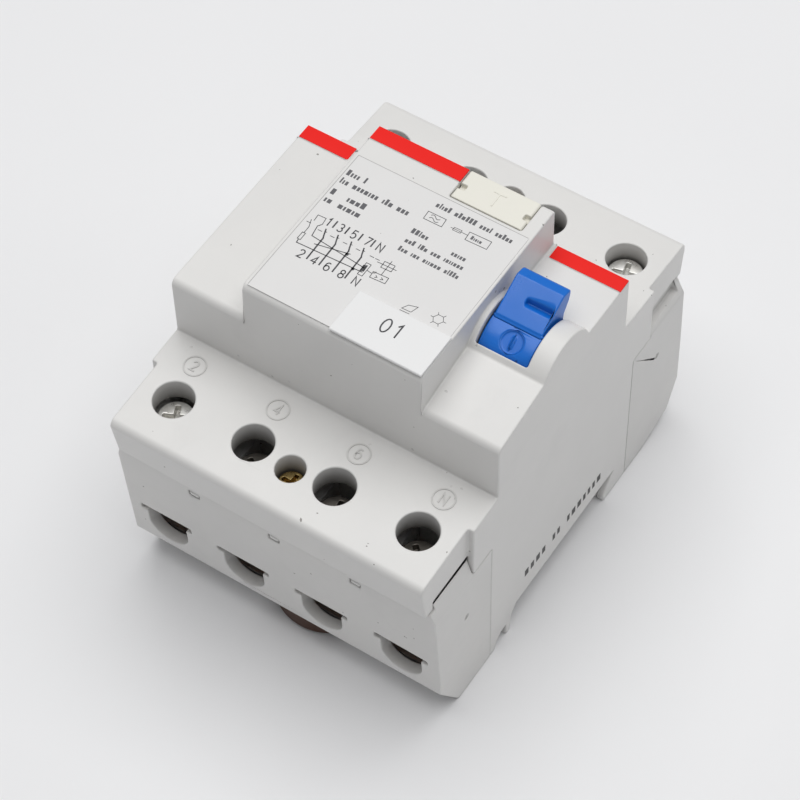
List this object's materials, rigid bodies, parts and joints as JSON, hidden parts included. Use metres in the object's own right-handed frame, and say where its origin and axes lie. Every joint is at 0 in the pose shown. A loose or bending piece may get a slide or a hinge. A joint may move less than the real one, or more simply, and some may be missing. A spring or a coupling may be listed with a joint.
{
  "type": "residual current device",
  "caption": "Multi-pole residual current device for rail mounting: moulded housing with toggle lever, test button, screw clamps, contacts, summation transformer and trip relay.",
  "frame": {"origin": "middle of the width and of the height, in the plane of the mounting foot behind the rail", "axes": "+X across the width to the toggle side, +Y from the lower terminals to the upper terminals, +Z out of the panel towards the toggle"},
  "size_m": [0.071, 0.093, 0.0777],
  "materials": {
    "housing_base": "fine satin grain",
    "housing_cover": "fine satin grain",
    "label_film": "printed film, satin",
    "card": "smooth card",
    "red_plastic": "semi gloss",
    "brass_screw": "tumbled",
    "brown_plastic": "satin",
    "spring_wire": "drawn wire",
    "blue_plastic": "semi gloss",
    "steel_pin": "ground",
    "steel_plate": "stamped, zinc plated",
    "dark_plastic": "moulded thermoset",
    "copper": "rolled copper",
    "silver": "silver alloy",
    "spring_bronze": "rolled bronze",
    "grey_plastic": "satin",
    "core_alloy": "wound tape core",
    "black_plastic": "satin",
    "enamel_wire": "enamelled copper wire",
    "enamel_bar": "varnished copper bar",
    "copper_braid": "woven copper",
    "yoke_steel": "zinc plated",
    "amber_plastic": "satin",
    "lead_red": "wire sleeve",
    "ivory_plastic": "satin",
    "resistor_body": "lacquered ceramic",
    "lead_black": "wire sleeve",
    "screw_steel": "zinc plated",
    "cage_steel": "zinc plated"
  },
  "bodies": {
    "housing": {"base_housing": "housing_base", "top_cover": "housing_cover", "front_label": "label_film", "marker_card": "card", "accent_strips": "red_plastic", "housing_screws": "brass_screw", "latch_spring": "spring_wire", "toggle_axle": "steel_pin", "mechanism_frame": "steel_plate", "opening_spring": "spring_wire", "fixed_contact_tips": "silver", "line_straps": "copper", "load_straps": "copper", "rotor_bearings": "grey_plastic", "pole_partitions": "dark_plastic", "toroid_core": "core_alloy", "toroid_case": "black_plastic", "secondary_winding": "enamel_wire", "primary_conductors": "enamel_bar", "flexible_braids": "copper_braid", "relay_yoke": "yoke_steel", "relay_coil": "enamel_wire", "trip_lever_pin": "steel_pin", "sensing_leads": "lead_red", "test_button_spring": "spring_wire", "test_resistor": "resistor_body", "test_leads": "lead_black"},
    "toggle": {"toggle_lever": "blue_plastic"},
    "link": {"drive_link": "steel_plate"},
    "rotor": {"contact_shaft": "dark_plastic", "contact_arms": "copper", "moving_contact_tips": "silver", "contact_springs": "spring_bronze"},
    "latch": {"din_latch": "brown_plastic"},
    "plunger": {"relay_plunger": "steel_pin"},
    "trip": {"trip_lever": "amber_plastic"},
    "button": {"test_button": "ivory_plastic"},
    "blade": {"test_contact_blade": "spring_bronze"},
    "screw_1": {"terminal_screw_1": "screw_steel"},
    "cage_1": {"clamp_cage_1": "cage_steel"},
    "screw_2": {"terminal_screw_2": "screw_steel"},
    "cage_2": {"clamp_cage_2": "cage_steel"},
    "screw_3": {"terminal_screw_3": "screw_steel"},
    "cage_3": {"clamp_cage_3": "cage_steel"},
    "screw_4": {"terminal_screw_4": "screw_steel"},
    "cage_4": {"clamp_cage_4": "cage_steel"},
    "screw_5": {"terminal_screw_5": "screw_steel"},
    "cage_5": {"clamp_cage_5": "cage_steel"},
    "screw_6": {"terminal_screw_6": "screw_steel"},
    "cage_6": {"clamp_cage_6": "cage_steel"},
    "screw_7": {"terminal_screw_7": "screw_steel"},
    "cage_7": {"clamp_cage_7": "cage_steel"},
    "screw_8": {"terminal_screw_8": "screw_steel"},
    "cage_8": {"clamp_cage_8": "cage_steel"}
  },
  "joints": [
    {"name": "toggle_hinge", "type": "hinge", "parent": "housing", "child": "toggle", "pos_m": [0.026, -0.0009, 0.0652], "axis": [1, 0, 0], "range_deg": [0, 45]},
    {"name": "link_hinge", "type": "hinge", "parent": "toggle", "child": "link", "pos_m": [0.0225, -0.003, 0.0601], "axis": [1, 0, 0], "range_deg": [-45, 0]},
    {"name": "rotor_hinge", "type": "hinge", "parent": "housing", "child": "rotor", "pos_m": [0, 0.004, 0.022], "axis": [1, 0, 0], "range_deg": [-18.1, 0]},
    {"name": "latch_slide", "type": "slide", "parent": "housing", "child": "latch", "axis": [0, -1, 0], "range_m": [0, 0.004], "deforming": ["latch_spring"]},
    {"name": "plunger_slide", "type": "slide", "parent": "housing", "child": "plunger", "axis": [0, 0, 1], "range_m": [0, 0.0015]},
    {"name": "trip_hinge", "type": "hinge", "parent": "housing", "child": "trip", "pos_m": [0.0269, -0.0075, 0.036], "axis": [1, 0, 0], "range_deg": [-14.5, 0]},
    {"name": "button_slide", "type": "slide", "parent": "housing", "child": "button", "axis": [0, 0, -1], "range_m": [0, 0.0018], "deforming": ["test_button_spring"]},
    {"name": "blade_hinge", "type": "hinge", "parent": "housing", "child": "blade", "pos_m": [-0.006, 0.0179, 0.0676], "axis": [0, 1, 0], "range_deg": [0, 7.1]},
    {"name": "screw_1_turn", "type": "hinge", "parent": "housing", "child": "screw_1", "pos_m": [-0.02685, -0.0363, 0.0415], "axis": [0, 0, -1], "range_deg": [0, 4320]},
    {"name": "cage_1_slide", "type": "slide", "parent": "housing", "child": "cage_1", "axis": [0, 0, 1], "range_m": [0, 0.0096]},
    {"name": "screw_2_turn", "type": "hinge", "parent": "housing", "child": "screw_2", "pos_m": [-0.00895, -0.0363, 0.0415], "axis": [0, 0, -1], "range_deg": [0, 4320]},
    {"name": "cage_2_slide", "type": "slide", "parent": "housing", "child": "cage_2", "axis": [0, 0, 1], "range_m": [0, 0.0096]},
    {"name": "screw_3_turn", "type": "hinge", "parent": "housing", "child": "screw_3", "pos_m": [0.00895, -0.0363, 0.0415], "axis": [0, 0, -1], "range_deg": [0, 4320]},
    {"name": "cage_3_slide", "type": "slide", "parent": "housing", "child": "cage_3", "axis": [0, 0, 1], "range_m": [0, 0.0096]},
    {"name": "screw_4_turn", "type": "hinge", "parent": "housing", "child": "screw_4", "pos_m": [0.02685, -0.0363, 0.0415], "axis": [0, 0, -1], "range_deg": [0, 4320]},
    {"name": "cage_4_slide", "type": "slide", "parent": "housing", "child": "cage_4", "axis": [0, 0, 1], "range_m": [0, 0.0096]},
    {"name": "screw_5_turn", "type": "hinge", "parent": "housing", "child": "screw_5", "pos_m": [-0.02685, 0.0365, 0.0415], "axis": [0, 0, -1], "range_deg": [0, 4320]},
    {"name": "cage_5_slide", "type": "slide", "parent": "housing", "child": "cage_5", "axis": [0, 0, 1], "range_m": [0, 0.0096]},
    {"name": "screw_6_turn", "type": "hinge", "parent": "housing", "child": "screw_6", "pos_m": [-0.00895, 0.0365, 0.0415], "axis": [0, 0, -1], "range_deg": [0, 4320]},
    {"name": "cage_6_slide", "type": "slide", "parent": "housing", "child": "cage_6", "axis": [0, 0, 1], "range_m": [0, 0.0096]},
    {"name": "screw_7_turn", "type": "hinge", "parent": "housing", "child": "screw_7", "pos_m": [0.00895, 0.0365, 0.0415], "axis": [0, 0, -1], "range_deg": [0, 4320]},
    {"name": "cage_7_slide", "type": "slide", "parent": "housing", "child": "cage_7", "axis": [0, 0, 1], "range_m": [0, 0.0096]},
    {"name": "screw_8_turn", "type": "hinge", "parent": "housing", "child": "screw_8", "pos_m": [0.02685, 0.0365, 0.0415], "axis": [0, 0, -1], "range_deg": [0, 4320]},
    {"name": "cage_8_slide", "type": "slide", "parent": "housing", "child": "cage_8", "axis": [0, 0, 1], "range_m": [0, 0.0096]}
  ],
  "couplings": [
    {"joint": "link_hinge", "follows": "toggle_hinge", "ratio": -1},
    {"joint": "rotor_hinge", "follows": "toggle_hinge", "ratio": -0.4},
    {"joint": "trip_hinge", "follows": "plunger_slide", "rad_per_m": -166.67},
    {"joint": "blade_hinge", "follows": "button_slide", "rad_per_m": 67.57},
    {"joint": "screw_1_turn", "follows": "cage_1_slide", "rad_per_m": 7854},
    {"joint": "screw_2_turn", "follows": "cage_2_slide", "rad_per_m": 7854},
    {"joint": "screw_3_turn", "follows": "cage_3_slide", "rad_per_m": 7854},
    {"joint": "screw_4_turn", "follows": "cage_4_slide", "rad_per_m": 7854},
    {"joint": "screw_5_turn", "follows": "cage_5_slide", "rad_per_m": 7854},
    {"joint": "screw_6_turn", "follows": "cage_6_slide", "rad_per_m": 7854},
    {"joint": "screw_7_turn", "follows": "cage_7_slide", "rad_per_m": 7854},
    {"joint": "screw_8_turn", "follows": "cage_8_slide", "rad_per_m": 7854}
  ]
}
